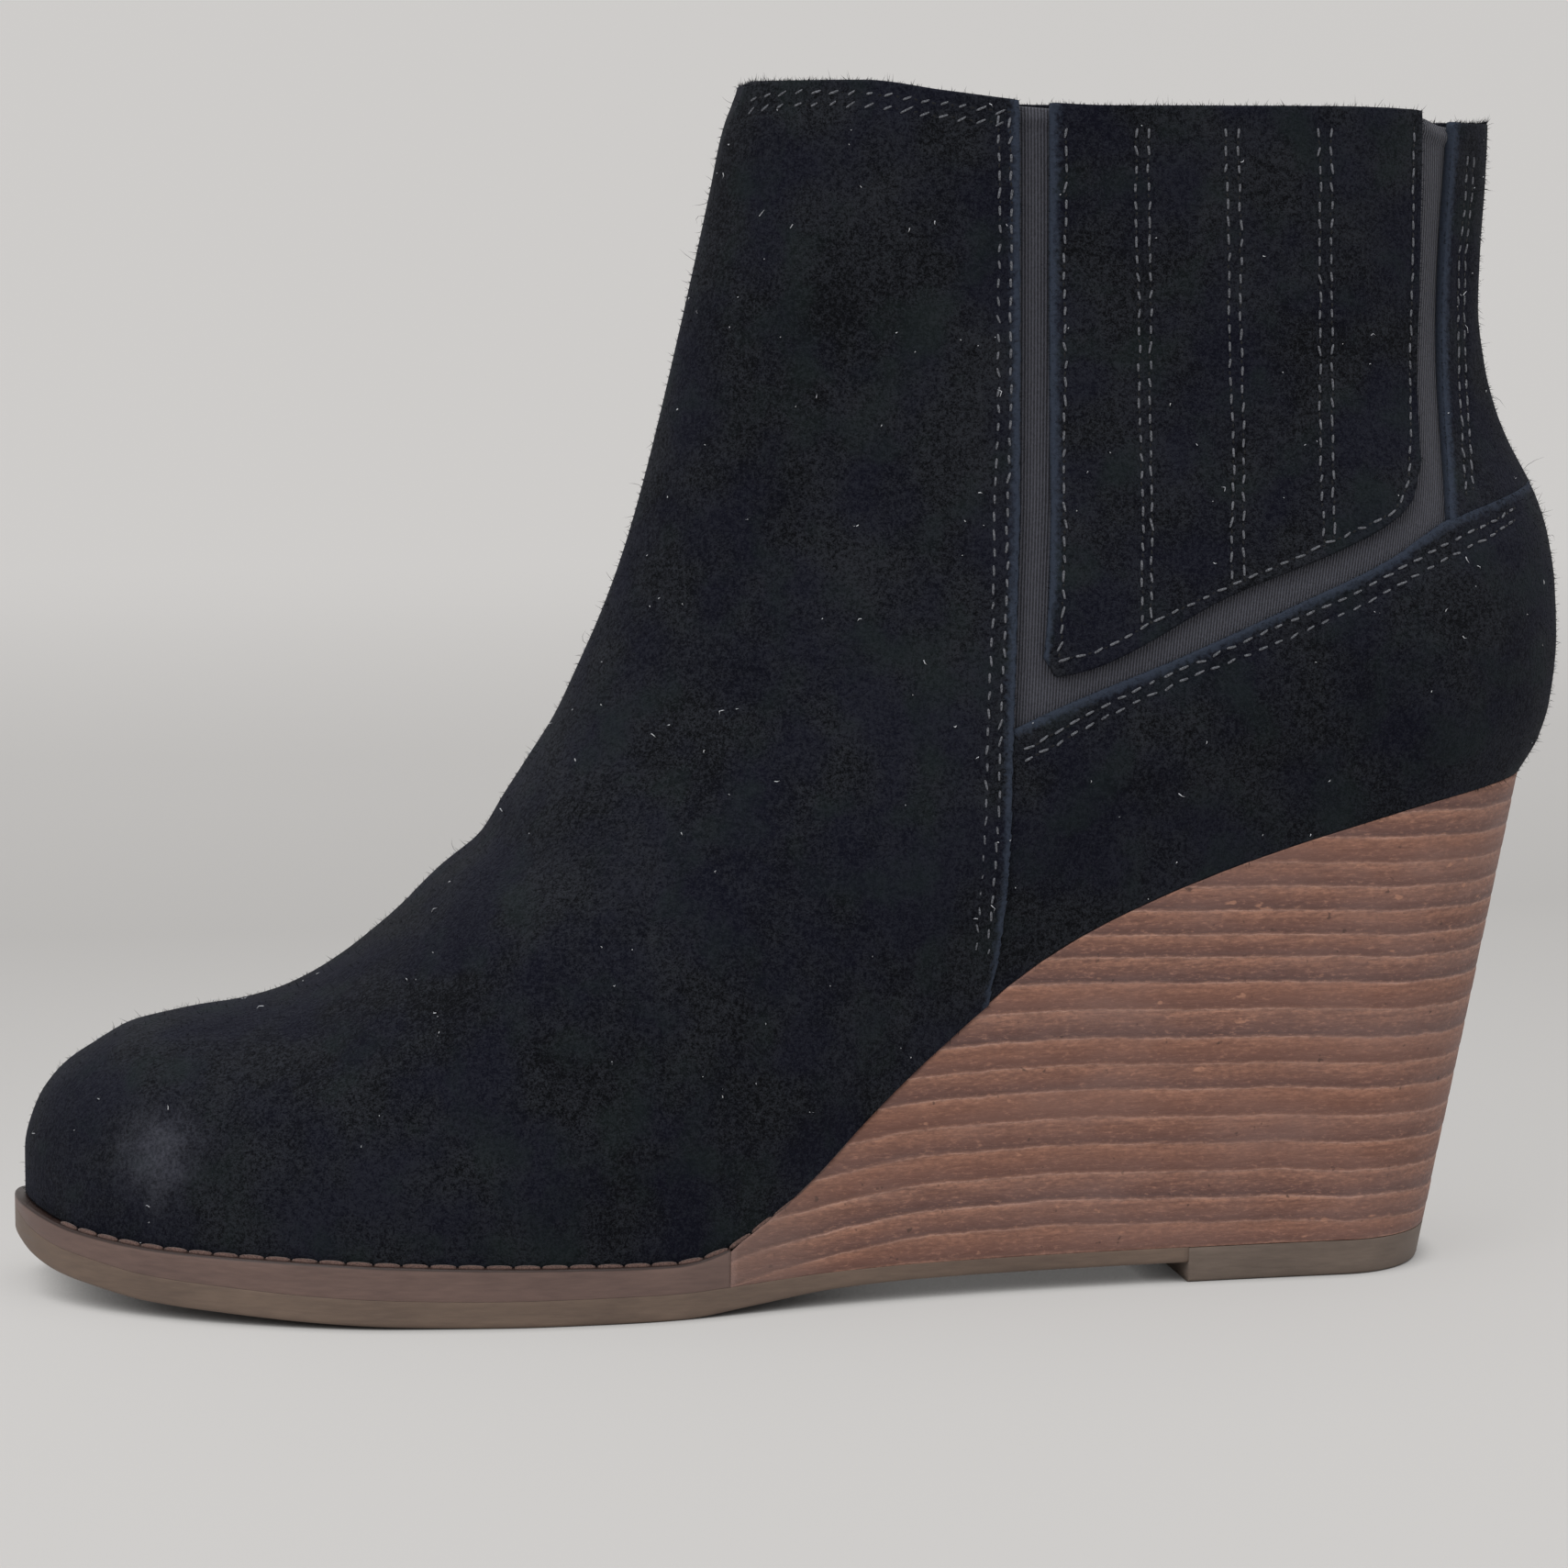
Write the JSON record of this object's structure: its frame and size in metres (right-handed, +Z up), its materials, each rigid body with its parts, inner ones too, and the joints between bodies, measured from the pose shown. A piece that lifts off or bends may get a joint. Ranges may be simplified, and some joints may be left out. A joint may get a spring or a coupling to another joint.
{
  "type": "wedge ankle boot",
  "caption": "Left pull-on ankle boot on a high stacked wedge, with a hollow suede upper, elastic gores at the sides and a flat rounded toe sole.",
  "frame": {"origin": "on the floor, at the middle of the heel tread's flat underside", "axes": "+Z up, +X from the toe to the heel, -Y to the boot's outer (lateral) side"},
  "size_m": [0.2513, 0.0875, 0.191],
  "materials": {
    "suede": "black suede with a fine nap, a few pale fibres, cut edges bluish grey",
    "elastic": "charcoal elastic webbing with fine upright ribs",
    "thread": "grey twisted thread",
    "insole": "smooth dull brown leather footbed",
    "midsole": "waxed pinkish brown layer with a stitched ledge",
    "wedge": "stacked layers, waxed orange brown going to grey brown, with a pale line at each joint",
    "outsole": "dull olive brown",
    "heel_tread": "dull dark grey-green brown"
  },
  "bodies": {
    "root": {"upper": "suede", "counter": "suede", "back_stay": "suede", "gore_panel_lateral": "suede", "gore_panel_medial": "suede", "insole": "insole", "midsole": "midsole", "wedge": "wedge", "outsole": "outsole", "heel_tread": "heel_tread"}
  },
  "joints": []
}
